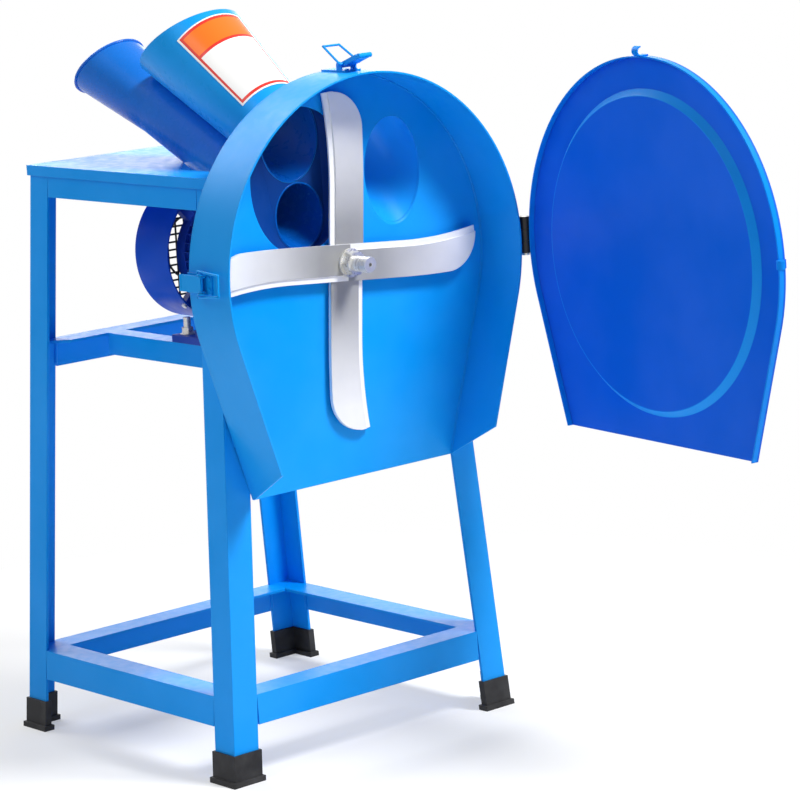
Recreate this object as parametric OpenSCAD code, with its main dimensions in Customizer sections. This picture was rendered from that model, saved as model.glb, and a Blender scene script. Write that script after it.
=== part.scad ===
// Chaff shredder: an angle-iron stand with a round cutter housing on its front,
// a hinged door, a four-armed cutter on a motor shaft, and feed chutes behind.
// The origin is on the floor, midway between the four feet. The front faces -Y.

/* [Stand] */
// Outer width across the legs at the table
frame_w = 371; // [360:1:420]
// Outer depth across the legs at the table
frame_d = 406; // [390:1:480]
// Height of the top of the table
table_z = 782; // [770:1:830]
// How far each foot stands out sideways
splay_x = 57; // [40:1:70]
// How far each foot stands out to the front or back
splay_y = 28; // [15:1:34]
// Width of one flange of the angle iron
angle_w = 40; // [34:1:42]
// Thickness of the angle iron
angle_t = 4; // [3:0.5:5]
// Height of the top of the bottom rails
low_rail_z = 113; // [90:1:200]
// Height of the top of the middle rails
mid_rail_z = 540; // [500:1:545]
// Width of one flange of the motor rails
motor_rail_w = 30; // [26:1:36]
// Height of the rubber feet
foot_h = 41; // [30:1:60]
// Wall of the rubber feet
foot_wall = 3; // [2:0.5:4]

/* [Table] */
// Thickness of the table sheet
table_t = 2; // [1.5:0.5:3]
// Height of the folded edge of the table
table_lip = 14; // [10:1:20]
// How far the table stands out past the legs
table_over = 4; // [4:0.5:8]

/* [Housing] */
// Outer radius of the round housing
drum_r = 250; // [244:1:256]
// Height of the cutter shaft
shaft_z = 652; // [645:1:656]
// Depth of the housing from its back plate to its front rim
drum_depth = 77; // [70:1:100]
// Thickness of the housing wall
drum_t = 2.5; // [2:0.5:4]
// Thickness of the back plate
plate_t = 3; // [2:0.5:5]
// Gap between the back plate and the legs at the table
plate_gap = 15; // [14:0.5:20]
// Inward slope of the housing sides below the shaft, in degrees
side_slope = 17.3; // [14:0.1:20]
// Drop from the shaft to the bottom of the back plate
back_drop = 286; // [275:1:286]
// Drop from the shaft to the bottom of the housing at its front rim
front_drop = 243; // [230:1:250]

/* [Feed] */
// Outer radius of the feed throat where it meets the back plate
throat_r = 84.5; // [82:0.5:85]
// Rise angle of the feed throat, in degrees
throat_rise = 31; // [29:1:33]
// Length of the feed throat behind the back plate
throat_len = 20; // [18:1:26]
// Radius of the main chute at the housing
main_r0 = 45.6; // [42:0.2:46]
// Radius of the main chute at its mouth
main_r1 = 70.6; // [64:0.2:74]
// Rise angle of the main chute, in degrees
main_rise = 33.6; // [33:0.2:35]
// Length of the main chute along its middle
main_len = 254; // [230:1:280]
// Angle of the main chute's mouth from upright, in degrees
mouth_tilt = 34; // [28:1:40]
// Radius of the long chute
long_r = 40; // [36:0.5:40]
// Radius of the long chute at its mouth
long_r1 = 50; // [46:0.5:50.5]
// Rise angle of the long chute, in degrees
long_rise = 27.5; // [27.1:0.1:27.6]
// Length of the long chute along its middle
long_len = 434; // [400:1:450]
// Length of the flare at the mouth of the long chute
flare_len = 120; // [90:1:122]
// Angle of the long chute's mouth from upright, in degrees
long_tilt = 42; // [36:1:48]
// Outer radius of the root spout
spout_r = 50; // [46:0.5:50]
// Rise angle of the root spout, in degrees
spout_rise = 48; // [44:1:50]
// Length of the root spout along its middle
spout_len = 95; // [85:1:105]
// Thickness of the chute sheet
chute_t = 2; // [1.5:0.5:2.5]

/* [Cutter] */
// Radius of the circle that the blade tips run on
blade_r = 224; // [210:1:235]
// Width of the rear blade bar
rear_w = 55; // [48:1:58]
// Width of the front blade bar
front_w = 48; // [44:1:56]
// Thickness of one blade bar
blade_t = 5; // [4:0.5:6]
// Width of the ground cutting edge
edge_w = 8; // [5:1:10]
// Gap between the back plate and the rear blade bar
blade_gap = 5; // [4:0.5:6]
// Diameter of the threaded shaft end
stud_d = 20; // [18:1:20]
// Diameter of the shaft in the motor
shaft_d = 26; // [22:1:28]
// How far the shaft stands out past the nut
stud_out = 26; // [15:1:30]

/* [Motor] */
// Outer radius of the motor body
motor_r = 72; // [70:1:74]
// Outer radius of the fan cowl
cowl_r = 95; // [90:1:100]
// Length of the fan cowl
cowl_len = 64; // [54:1:74]
// Length of the motor body with its end shields
motor_len = 154; // [150:1:160]
// Distance from the back plate to the front of the motor
motor_set = 104; // [104:1:110]
// Radius of the cooling fan
fan_r = 44; // [38:1:50]

/* [Door] */
// Gap between the housing rim and the door's folded edge
door_gap = 1; // [0.6:0.1:1.4]
// Thickness of the door sheet
door_t = 2; // [1.5:0.5:2.5]
// Depth of the door's folded edge
door_lip = 8; // [6:1:9]
// Radius of the disc pressed into the door
disc_r = 211; // [195:1:212]
// How far the disc is pressed in, towards the housing
disc_press = 8; // [4:0.5:10]
// Distance from the door's edge to the hinge pin
hinge_out = 10; // [9.5:0.5:12]
// Length of the hinge
hinge_h = 49; // [44:1:60]
// Angle at which the door stands open, in degrees
door_open = 83; // [0:1:150]

/* [Latches] */
// Length of the latch bases
latch_len = 48; // [44:1:52]
// Distance from the lever's pivot to its end
lever_len = 42; // [36:1:42]
// Distance from the lever's pivot to the bail's pivot
bail_arm = 7; // [7:0.2:8]
// Width across the bail's legs at their pivots
bail_span = 33; // [32:1:40]
// Angle of the top latch's lever from closed, in degrees
top_lever = 160; // [120:1:160]

/* [Hidden] */
$fn = 96;
drum_fn = 240;

blue = "#0c7fd6";
deep_blue = "#0a5fc0";
navy = "#123f9a";
steel = "#c8cacc";
zinc = "#d6d4cc";
black = "#1b1b1d";

cut = 1;                              // how far a cutting shape reaches past a face
far = 900;                            // longer than the whole machine
fy = -frame_d / 2;                    // front of the legs at the table
plate_rear = fy - plate_gap;          // rear face of the back plate
plate_front = plate_rear - plate_t;   // front face of the back plate
rim_y = plate_front - drum_depth;     // front rim of the housing
under_table = table_z - table_t;
fit = 0.05;                           // radial play of a running fit
seat = 0.3;                           // play between parts that only lie together

// Outer face of the legs at height z, sideways and to the front or back
function lean_x(z) = frame_w / 2 + splay_x * (table_z - z) / table_z;
function lean_y(z) = frame_d / 2 + splay_y * (table_z - z) / table_z;

// A slab that leans with the legs' outer side faces, from depth in0 to depth in1
module slab_x(z0, z1, in0, in1, y0, y1)
    translate([0, y1, 0]) rotate([90, 0, 0]) linear_extrude(y1 - y0)
        polygon([[lean_x(z0) - in1, z0], [lean_x(z0) - in0, z0],
                 [lean_x(z1) - in0, z1], [lean_x(z1) - in1, z1]]);

// A slab that leans with the legs' rear faces, from depth in0 to depth in1
module slab_y(z0, z1, in0, in1, x0, x1)
    translate([x0, 0, 0]) rotate([90, 0, 90]) linear_extrude(x1 - x0)
        polygon([[lean_y(z0) - in1, z0], [lean_y(z0) - in0, z0],
                 [lean_y(z1) - in0, z1], [lean_y(z1) - in1, z1]]);

module corner_prism(z0, z1, in0, in1)
    intersection() {
        slab_x(z0, z1, in0, in1, 0, far);
        slab_y(z0, z1, in0, in1, 0, far);
    }

module leg(z0, z1)
    difference() {
        corner_prism(z0, z1, 0, angle_w);
        corner_prism(z0 - cut, z1 + cut, angle_t, angle_w + cut);
    }

// Turns a rear right corner piece into the piece for another corner
module corner(right, rear) {
    if (right && rear) children();
    if (!right && rear) mirror([1, 0, 0]) children();
    if (right && !rear) mirror([0, 1, 0]) children();
    if (!right && !rear) rotate([0, 0, 180]) children();
}

module all_legs()
    for (right = [true, false], rear = [true, false]) corner(right, rear) leg(0, under_table);

// Rubber shoe that follows the angle iron, closed below and with a wider rim
module foot() {
    lip = 3;
    lip_h = 7;
    sole = 4;
    difference() {
        union() {
            corner_prism(0, foot_h, -foot_wall, angle_w + foot_wall);
            corner_prism(0, lip_h, -foot_wall - lip, angle_w + foot_wall + lip);
        }
        corner_prism(lip_h, foot_h + cut, angle_t + foot_wall, angle_w + foot_wall + cut);
        corner_prism(-cut, lip_h + cut, angle_t + foot_wall + lip, angle_w + foot_wall + lip + cut);
        difference() {
            corner_prism(sole, foot_h + cut, -seat, angle_w + seat);
            corner_prism(sole - cut, foot_h + 2 * cut, angle_t + seat, angle_w + cut);
        }
    }
}

module foot_leg()
    leg(4, under_table);

// Plan of a rail's flat flange, mitred at both corners
module mitred_flange(outer, deep, w, z)
    translate([0, 0, z - angle_t]) linear_extrude(angle_t)
        polygon([[-outer, deep], [outer, deep], [outer - w, deep - w], [-outer + w, deep - w]]);

// A rail along X at the rear, of height w, flush with the rear faces of the legs
module rear_rail(z, w)
    difference() {
        union() {
            slab_y(z - w, z, 0, angle_t, -lean_x(z) + angle_w, lean_x(z) - angle_w);
            mitred_flange(lean_x(z), lean_y(z), w, z);
        }
        all_legs();
    }

// A rail along Y at the right, of height w, flush with the outer faces of the legs
module right_rail(z, w)
    difference() {
        union() {
            slab_x(z - w, z, 0, angle_t, -lean_y(z) + angle_w, lean_y(z) - angle_w);
            rotate([0, 0, -90]) mitred_flange(lean_y(z), lean_x(z), w, z);
        }
        all_legs();
    }

module bottom_rear_rail() color(blue) rear_rail(low_rail_z, angle_w);
module bottom_front_rail() color(blue) mirror([0, 1, 0]) rear_rail(low_rail_z, angle_w);
module bottom_right_rail() color(blue) right_rail(low_rail_z, angle_w);
module bottom_left_rail() color(blue) mirror([1, 0, 0]) right_rail(low_rail_z, angle_w);
module upper_rear_rail() color(blue) rear_rail(under_table, angle_w);
module upper_right_rail() color(blue) right_rail(under_table, angle_w);
module upper_left_rail() color(blue) mirror([1, 0, 0]) right_rail(under_table, angle_w);
module middle_rear_rail() color(blue) rear_rail(mid_rail_z, angle_w);
module middle_front_rail() color(blue) mirror([0, 1, 0]) rear_rail(mid_rail_z, angle_w);

motor_rail_x = 100;                   // outer face of the motor rails
rail_end = lean_y(mid_rail_z) - angle_w;

module motor_rail()
    difference() {
        translate([motor_rail_x - motor_rail_w, -rail_end, mid_rail_z - motor_rail_w])
            cube([motor_rail_w, 2 * rail_end, motor_rail_w]);
        translate([motor_rail_x - motor_rail_w - cut, -rail_end - cut, mid_rail_z - motor_rail_w - cut])
            cube([motor_rail_w - angle_t + cut, 2 * rail_end + 2 * cut, motor_rail_w - angle_t + cut]);
        foot_bolt_holes();
    }

module motor_rail_right() color(blue) motor_rail();
module motor_rail_left() color(blue) mirror([1, 0, 0]) motor_rail();

throat_x = -62;                       // middle of the feed opening
throat_z = 765;
main_x = -60;                         // where the main chute's middle meets the plate
main_z = 802.6;
long_x = -49;                         // where the long chute's middle would meet the plate
long_z = 706;
long_yaw = 3;                         // how far the long chute turns to the left
spout_x = 95;                         // middle of the root opening
spout_z = 761;
throat_end = plate_rear + throat_len;

// Table

table_x = frame_w / 2 + table_over;
table_y = frame_d / 2 + table_over;
opening_left = -133;                  // left side of the cut-out for the chutes
opening_right = spout_x + spout_r + 5;
opening_side = fy + 142;              // where the left side turns inwards
opening_back = fy + 223;
opening_mid = fy + 78;                // behind the root spout
opening_step = 22;                    // where it widens to the right for the root spout

// Cut-out that lets the chutes down through the table
module table_opening()
    translate([0, 0, table_z - 2 * table_lip]) linear_extrude(3 * table_lip)
        polygon([[opening_left, -far], [opening_left, opening_side],
                 [long_x - 21, opening_back - 8], [long_x + 9, opening_back],
                 [long_x + 36, opening_back - 15], [opening_step, opening_mid + 50],
                 [opening_step, opening_mid], [opening_right, opening_mid], [opening_right, -far]]);

module table_top()
    color(blue) difference() {
        translate([-table_x, -table_y, table_z - table_lip])
            cube([2 * table_x, 2 * table_y, table_lip]);
        translate([-table_x + table_t, -table_y + table_t, table_z - table_lip - cut])
            cube([2 * (table_x - table_t), 2 * (table_y - table_t), table_lip - table_t + cut]);
        table_opening();
    }

// Housing

// Stands a front view up at the shaft and runs it from y0 back to y1
module at_shaft(y0, y1)
    translate([0, y1, shaft_z]) rotate([90, 0, 0]) linear_extrude(y1 - y0) children();

// Cylinder about the shaft line from y0 back to y1
module on_shaft(y0, y1, r)
    translate([0, y1, shaft_z]) rotate([90, 0, 0])
        cylinder(h = y1 - y0, r = r, $fn = r > 200 ? drum_fn : $fn);

// Housing shape from y0 back to y1: a round top with straight sides that slope in
module housing_block(y0, y1, r, drop) {
    side_r = r - 0.05;
    top = side_r * cos(side_slope);
    bottom = (side_r - drop * sin(side_slope)) / cos(side_slope);
    on_shaft(y0, y1, r);
    at_shaft(y0, y1) polygon([[-top, -side_r * sin(side_slope)], [top, -side_r * sin(side_slope)],
                              [bottom, -drop], [-bottom, -drop]]);
}

module housing_band()
    color(blue) difference() {
        housing_block(rim_y, plate_front, drum_r, back_drop);
        housing_block(rim_y - cut, plate_front + cut, drum_r - drum_t, back_drop + 20);
        translate([0, plate_front, shaft_z - back_drop])
            rotate([-atan((back_drop - front_drop) / drum_depth), 0, 0])
                translate([-far, -far, -far]) cube([2 * far, far, far]);
        latch_rivet_holes();
    }

module back_plate()
    color(blue) difference() {
        housing_block(plate_front, plate_rear, drum_r, back_drop);
        throat_bore();
        spout_tube(spout_r - chute_t, spout_len);
        on_shaft(plate_front - cut, plate_rear + cut, stud_d / 2 + 2);
        bearing_screw_holes(plate_front - cut, plate_rear + cut);
    }

bracket_w = 24;
bracket_h = 36;
bracket_high = 700;                   // undersides of the upper and lower blocks
bracket_low = 440;

// Blocks that carry the back plate on the front legs
module housing_brackets()
    color(blue) difference() {
        for (side = [-1, 1], place = [[bracket_high, 11], [bracket_low, 15]])
            translate([side * (lean_x(place[0]) - place[1] - bracket_w / 2) - bracket_w / 2, plate_rear, place[0]])
                cube([bracket_w, plate_gap + 10, bracket_h]);
        mirror([0, 1, 0]) slab_y(0, table_z, 0, angle_w, -far, far);
    }

// Feed chutes

// Puts a chute's middle line on z, starting at the plate's front face
module chute_frame(x, z, rise, yaw = 0)
    translate([x, plate_front, z]) rotate([0, 0, yaw]) rotate([rise - 90, 0, 0]) children();

module throat_bore()
    chute_frame(throat_x, throat_z, throat_rise)
        translate([0, 0, -2 * throat_r]) cylinder(h = 4 * throat_r, r = throat_r - chute_t);

// The part of a shape that lies between y0 and y1
module slice_y(y0, y1)
    intersection() {
        children();
        translate([-far, y0, 0]) cube([2 * far, y1 - y0, 2 * far]);
    }

// Cone that widens from the housing to the mouth; it starts well before the plate
module main_cone(grow) {
    lead = 40;
    taper = (main_r1 - main_r0) / main_len;
    chute_frame(main_x, main_z, main_rise) translate([0, 0, -lead])
        cylinder(h = lead + 2 * main_len, r1 = main_r0 - lead * taper + grow,
                 r2 = main_r0 + 2 * main_len * taper + grow);
}

// Straight tube that opens into a flare; it starts before the plate
module long_cone(grow)
    chute_frame(long_x, long_z, long_rise, long_yaw) {
        cylinder(h = long_len - flare_len, r = long_r + grow);
        translate([0, 0, long_len - flare_len])
            cylinder(h = 2 * flare_len, r1 = long_r + grow, r2 = 2 * long_r1 - long_r + grow);
    }

// Everything beyond the slanted mouth of a chute of length len
module beyond_mouth(x, z, rise, len, tilt, yaw = 0)
    translate([x - len * cos(rise) * sin(yaw), plate_front + len * cos(rise) * cos(yaw), z + len * sin(rise)])
        rotate([-tilt, 0, 0]) translate([-far, -far, 0]) cube([2 * far, 2 * far, far]);

module before_throat_end()
    translate([-far, throat_end - chute_t - far, 0]) cube([2 * far, far, 2 * far]);

module throat_hull(grow, y0, y1)
    hull() {
        slice_y(y0, y0 + 0.5) chute_frame(throat_x, throat_z, throat_rise)
            translate([0, 0, -2 * throat_r]) cylinder(h = 4 * throat_r, r = throat_r + grow);
        slice_y(y1 - 0.5, y1) main_cone(grow + 2 * chute_t);
        slice_y(y1 - 0.5, y1) long_cone(grow + 2 * chute_t);
    }

// Sleeve that joins both chutes to the feed opening
module feed_throat()
    color(blue) difference() {
        throat_hull(0, plate_rear, throat_end);
        throat_hull(-chute_t, plate_rear - cut, throat_end - chute_t);
        main_cone(seat);
        long_cone(seat);
    }

module main_chute()
    color(blue) difference() {
        main_cone(0);
        main_cone(-chute_t);
        beyond_mouth(main_x, main_z, main_rise, main_len, mouth_tilt);
        before_throat_end();
    }

module long_chute()
    color(deep_blue) difference() {
        long_cone(0);
        long_cone(-chute_t);
        beyond_mouth(long_x, long_z, long_rise, long_len, long_tilt, long_yaw);
        before_throat_end();
    }

module spout_tube(r, len)
    chute_frame(spout_x, spout_z, spout_rise)
        translate([0, 0, -2 * spout_r]) cylinder(h = len + 2 * spout_r, r = r);

module root_spout()
    color(blue) difference() {
        spout_tube(spout_r, spout_len);
        spout_tube(spout_r - chute_t, spout_len + cut);
        translate([-far, plate_rear - far, 0]) cube([2 * far, far, 2 * far]);
    }

// Shaft bearing behind the back plate

bearing_od = 47;
bearing_w = 14;
bearing_depth = 20;
bearing_wall = 9.5;
screw_circle = bearing_od / 2 + 4.8;

module ring_of(n, r) for (i = [0 : n - 1]) rotate([0, i * 360 / n + 45, 0]) translate([r, 0, 0]) children();

module bearing_screw_holes(y0, y1)
    translate([0, 0, shaft_z]) ring_of(4, screw_circle)
        translate([0, y1, 0]) rotate([90, 0, 0]) cylinder(h = y1 - y0, r = 2.5);

module bearing_housing()
    color(navy) difference() {
        union() {
            on_shaft(plate_rear, plate_rear + bearing_depth, bearing_od / 2 + bearing_wall);
            translate([0, 0, shaft_z]) ring_of(4, screw_circle)
                translate([0, plate_rear + 2, 0]) rotate([90, 0, 0]) cylinder(h = plate_t + 2, r = 2.5 - fit);
        }
        on_shaft(plate_rear - cut, plate_rear + bearing_w + seat, bearing_od / 2);
        on_shaft(plate_rear, plate_rear + bearing_depth + cut, shaft_d / 2 + 1);
    }

// Ball bearing drawn as its two races and a closed ball cage between them
module ball_bearing(y, w, d, od) {
    mid = (d + od) / 4;
    difference() {
        on_shaft(y, y + w, od / 2);
        on_shaft(y - cut, y + w + cut, d / 2);
        for (side = [0, 1])
            difference() {
                on_shaft(y + side * w - 1.5, y + side * w + 1.5, mid + (od - d) / 10);
                on_shaft(y + side * w - 2, y + side * w + 2, mid - (od - d) / 10);
            }
    }
}

module front_bearing() color(steel) ball_bearing(plate_rear, bearing_w, stud_d, bearing_od);

// Motor

motor_y0 = plate_rear + motor_set;
motor_y1 = motor_y0 + motor_len;
shield_len = 18;
frame_wall = 6;
cowl_y0 = motor_y1 - 2;
cowl_y1 = cowl_y0 + cowl_len;
cowl_t = 2;
motor_bearing_od = 52;
motor_bearing_w = 13;
foot_x = 85;                          // foot bolts, from the middle
foot_y0 = motor_y0 + 30;
foot_y1 = motor_y1 - 30;
foot_t = 10;

// Barrel with cooling ribs along its length
module motor_frame()
    color(navy) difference() {
        union() {
            on_shaft(motor_y0 + shield_len, motor_y1 - shield_len, motor_r - 4);
            translate([0, 0, shaft_z]) for (i = [0 : 35]) rotate([0, i * 10 + 5, 0])
                translate([motor_r - 6, motor_y0 + shield_len, -1])
                    cube([6, motor_len - 2 * shield_len, 2]);
        }
        on_shaft(motor_y0, motor_y1, motor_r - 4 - frame_wall);
    }

// Dished end shield with a seat for a shaft bearing
module shield_shape(y0, inside)
    difference() {
        on_shaft(y0, y0 + shield_len, motor_r);
        on_shaft(y0 + inside * 8, y0 + shield_len - (1 - inside) * 8, motor_r - 10);
    }

module front_shield()
    color(navy) difference() {
        union() {
            shield_shape(motor_y0, 1);
            on_shaft(motor_y0, motor_y0 + shield_len, motor_bearing_od / 2 + 6);
        }
        on_shaft(motor_y0 + 3, motor_y0 + shield_len + cut, motor_bearing_od / 2);
        on_shaft(motor_y0 - cut, motor_y0 + 4, shaft_d / 2 + 1);
    }

module rear_shield()
    color(navy) difference() {
        union() {
            shield_shape(motor_y1 - shield_len, 0);
            on_shaft(motor_y1 - shield_len, motor_y1, motor_bearing_od / 2 + 6);
            cowl_lugs(motor_r - 2, cowl_r - cowl_t);
        }
        on_shaft(motor_y1 - shield_len - cut, motor_y1 - 3, motor_bearing_od / 2);
        on_shaft(motor_y1 - 4, motor_y1 + cut, shaft_d / 2 + 1);
        cowl_screw_holes();
    }

// Four lugs that hold the cowl
module cowl_lugs(r0, r1)
    intersection() {
        translate([0, 0, shaft_z]) for (i = [0 : 3]) rotate([0, i * 90 + 45, 0])
            translate([r0, motor_y1 - 12, -6]) cube([r1 - r0 + cut, 12, 12]);
        on_shaft(motor_y0, motor_y1, r1);
    }

module at_lugs() translate([0, motor_y1 - 5, shaft_z]) for (i = [0 : 3]) rotate([0, i * 90 + 45, 0]) children();

cowl_band = 10;                       // overlap of the cowl and its lugs

module cowl_screw_holes() at_lugs() rotate([0, 90, 0]) cylinder(h = 2 * cowl_r, r = 2);

module fan_cowl()
    color(navy) difference() {
        on_shaft(cowl_y0 - cowl_band + 2, cowl_y1, cowl_r);
        on_shaft(cowl_y0 - cowl_band, cowl_y1 + cut, cowl_r - cowl_t);
        cowl_screw_holes();
    }

module cowl_screws()
    color(zinc) at_lugs() {
        rotate([0, 90, 0]) translate([0, 0, cowl_r - 14]) cylinder(h = 14.5, r = 2);
        rotate([0, 90, 0]) translate([0, 0, cowl_r]) cylinder(h = 3, r = 4);
    }

guard_w = 3;                          // width of the guard's rings and spokes
guard_y = cowl_y1 - 2 * guard_w;

// Round guard: three rings welded to crossed spokes
module fan_guard()
    color(black) union() {
        for (r = [30, 52, 74])
            difference() {
                on_shaft(guard_y + guard_w - 1, guard_y + 2 * guard_w, r + guard_w / 2);
                on_shaft(guard_y, guard_y + 3 * guard_w, r - guard_w / 2);
            }
        intersection() {
            translate([0, guard_y, shaft_z]) for (i = [0 : 5]) rotate([0, i * 30 + 15, 0])
                translate([-cowl_r, 0, -guard_w / 2]) cube([2 * cowl_r, guard_w, guard_w]);
            on_shaft(cowl_y0, cowl_y1, cowl_r - cowl_t);
        }
    }

module motor_foot()
    color(navy) difference() {
        union() {
            translate([-motor_rail_x, motor_y0 + 14, mid_rail_z]) cube([2 * motor_rail_x, motor_len - 28, foot_t]);
            for (side = [-1, 1]) translate([side * 48 - 7, motor_y0 + 24, mid_rail_z])
                cube([14, motor_len - 48, shaft_z - mid_rail_z]);
        }
        on_shaft(motor_y0 - cut, motor_y1 + cut, motor_r);
        translate([-30, motor_y0, mid_rail_z - cut]) cube([60, motor_len, foot_t + 2 * cut]);
        foot_bolt_holes();
    }

module at_foot_bolts()
    for (x = [-foot_x, foot_x], y = [foot_y0, foot_y1]) translate([x, y, mid_rail_z]) children();

module foot_bolt_holes() at_foot_bolts() translate([0, 0, -angle_t - cut]) cylinder(h = foot_t + angle_t + 2 * cut, r = 5.5);

// Bolt head under the rail, nut on the foot, thread end above the nut
module foot_bolts()
    color(zinc) at_foot_bolts() {
        translate([0, 0, -angle_t - 6]) cylinder(h = 6, r = 8.5, $fn = 6);
        translate([0, 0, -angle_t - cut]) cylinder(h = foot_t + angle_t + 24, r = 5);
        translate([0, 0, foot_t]) cylinder(h = 1.5, r = 10);
        translate([0, 0, foot_t + 1.5]) cylinder(h = 8, r = 8.5, $fn = 6);
    }

core_y0 = motor_y0 + shield_len + 22;
core_y1 = motor_y1 - shield_len - 22;
core_r = motor_r - 4 - frame_wall;
air_gap = 0.6;
core_bore = 38;

// Sheet stack with the end turns of its winding
module stator_core()
    color("#8a5a30") difference() {
        union() {
            on_shaft(core_y0, core_y1, core_r);
            on_shaft(core_y0 - 14, core_y1 + 14, core_r - 6);
        }
        on_shaft(core_y0 - 15, core_y1 + 15, core_bore);
    }

module motor_bearings()
    color(steel) {
        ball_bearing(motor_y0 + 4, motor_bearing_w, shaft_d, motor_bearing_od);
        ball_bearing(motor_y1 - 4 - motor_bearing_w, motor_bearing_w, shaft_d, motor_bearing_od);
    }

box_y = (motor_y0 + motor_y1) / 2;
box_w = 70;
box_h = 56;
box_d = 34;
box_t = 2.5;

// Box for the motor's terminals on its right side
module terminal_box()
    color(navy) difference() {
        translate([motor_r - 10, box_y - box_w / 2, shaft_z - box_h / 2]) cube([box_d + 10, box_w, box_h]);
        translate([motor_r + box_t, box_y - box_w / 2 + box_t, shaft_z - box_h / 2 + box_t])
            cube([box_d, box_w - 2 * box_t, box_h - 2 * box_t]);
        on_shaft(motor_y0, motor_y1, motor_r);
        translate([motor_r + box_d / 2, box_y, shaft_z - box_h / 2 - cut]) cylinder(h = box_t + 2 * cut, r = 8);
    }

module terminal_cover()
    color(navy) {
        translate([motor_r + box_d, box_y - box_w / 2 - 1, shaft_z - box_h / 2 - 1]) cube([box_t, box_w + 2, box_h + 2]);
        for (y = [-1, 1], z = [-1, 1]) translate([motor_r + box_d + box_t, box_y + y * 28, shaft_z + z * 21])
            rotate([0, 90, 0]) cylinder(h = 2, r = 3.5);
    }

module cable_gland()
    color(black) translate([motor_r + box_d / 2, box_y, shaft_z - box_h / 2]) difference() {
        union() {
            translate([0, 0, -5]) cylinder(h = 5, r = 12, $fn = 6);
            translate([0, 0, -17]) cylinder(h = 12, r1 = 8, r2 = 10.5);
            cylinder(h = box_t + 4, r = 8 - fit);
        }
        translate([0, 0, -18]) cylinder(h = 30, r = 4.5);
    }

// Cutter

bar_y = plate_front - blade_gap;      // rear face of the rear blade bar
mid_y = bar_y - blade_t;              // where the two bars meet
front_y = mid_y - blade_t;            // front face of the front blade bar
washer_t = 3;
nut_h = 12;
nut_y = front_y - washer_t - nut_h;
stud_end = nut_y - stud_out;
collar_r = 19;
shaft_step = plate_rear + bearing_w + seat;
fan_y = motor_y1 + 12;
fan_len = 22;

module shaft()
    color(steel) difference() {
        union() {
            on_shaft(stud_end, shaft_step + cut, stud_d / 2 - fit);
            on_shaft(bar_y, plate_rear - 0.5, stud_d / 2 + 1.5);
            on_shaft(shaft_step, motor_y1 - 1, shaft_d / 2 - fit);
            on_shaft(motor_y1 - 2, fan_y + fan_len, 9);
        }
        on_shaft(stud_end - cut, stud_end + 7, 2.6);
    }

module rotor_core()
    color("#7d7f82") difference() {
        on_shaft(core_y0, core_y1, core_bore - air_gap);
        on_shaft(core_y0 - cut, core_y1 + cut, shaft_d / 2 - fit);
    }

module cooling_fan()
    color(black) difference() {
        union() {
            on_shaft(fan_y, fan_y + fan_len, 15);
            on_shaft(fan_y, fan_y + 2, 26);
            translate([0, 0, shaft_z]) for (i = [0 : 6]) rotate([0, i * 360 / 7, 0])
                translate([13, fan_y, -1]) cube([fan_r - 13, fan_len - 2, 2]);
        }
        on_shaft(fan_y - cut, fan_y + fan_len + cut, 9);
    }

rest_turn = 4.6;                      // how far the bars are turned at rest, in degrees
hook = 15;                            // how far the leading edge comes forward at the tip
lag = 6;                              // how far the trailing edge follows it
root = 96;                            // straight part of an arm, from the shaft line
tip_r = 50;                           // rounding of the trailing corner at the tip
tip_y = blade_r - tip_r - 2;
lead_r = (pow(blade_r - root, 2) + hook * hook) / (2 * hook);
trail_r = (pow(blade_r - root, 2) + lag * lag) / (2 * lag);

// One arm of a bar along +Y, with its hollow leading edge at -X, moved back by the given width
module blade_arm(w, back)
    difference() {
        intersection() {
            circle(blade_r, $fn = drum_fn);
            translate([-w / 2 - hook, -cut]) square([w + hook, blade_r + cut]);
            union() {
                translate([-w, -2 * cut]) square([1.5 * w, root + 3 * cut]);
                translate([w / 2 - trail_r, root]) circle(trail_r, $fn = 4 * drum_fn);
            }
        }
        translate([back - 1.5 * w, -2 * cut]) square([w, root + 3 * cut]);
        translate([back - w / 2 - lead_r, root]) circle(lead_r, $fn = 2 * drum_fn);
        translate([w / 2 - pow(tip_y - root, 2) / (2 * trail_r) - tip_r, tip_y]) difference() {
            square(2 * tip_r);
            circle(tip_r);
        }
    }

// A bar of two arms; the strip along each leading edge is ground down from the front
module blade_bar(w)
    difference() {
        for (turn = [0, 180]) rotate([0, 0, turn]) {
            linear_extrude(blade_t * 0.55) blade_arm(w, 0);
            linear_extrude(blade_t) blade_arm(w, edge_w);
        }
        translate([0, 0, -cut]) cylinder(h = blade_t + 2 * cut, r = stud_d / 2 - fit);
    }

module rear_blade_bar()
    color(steel) translate([0, bar_y, shaft_z]) rotate([90, 0, 0]) rotate([0, 0, -rest_turn]) blade_bar(rear_w);

module front_blade_bar()
    color(steel) translate([0, mid_y, shaft_z])
        rotate([90, 0, 0]) rotate([0, 0, 90 - rest_turn]) blade_bar(front_w);

module blade_washer()
    color(zinc) difference() {
        on_shaft(front_y - washer_t, front_y, 19);
        on_shaft(front_y - washer_t - cut, front_y + cut, stud_d / 2 - fit);
    }

module blade_nut()
    color(zinc) difference() {
        intersection() {
            translate([0, front_y - washer_t, shaft_z]) rotate([90, 0, 0]) cylinder(h = nut_h, r = 17.3, $fn = 6);
            translate([0, front_y - washer_t, shaft_z]) rotate([90, 0, 0]) cylinder(h = nut_h, r1 = 17.6, r2 = 15.6);
        }
        on_shaft(nut_y - cut, front_y, stud_d / 2 - fit);
    }

// Door, drawn closed and turned about its hinge to where it stands open

door_r = drum_r + door_gap + door_t;  // outer radius of the folded edge
hinge_x = door_r + hinge_out;
panel_y = rim_y - 0.5;                // inner face of the door when closed
hinge_y = panel_y + door_lip - 0.5;   // level with the end of the folded edge, so that it swings clear

module door_place()
    translate([hinge_x, hinge_y, 0]) rotate([0, 0, door_open]) translate([-hinge_x, -hinge_y, 0]) children();

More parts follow.
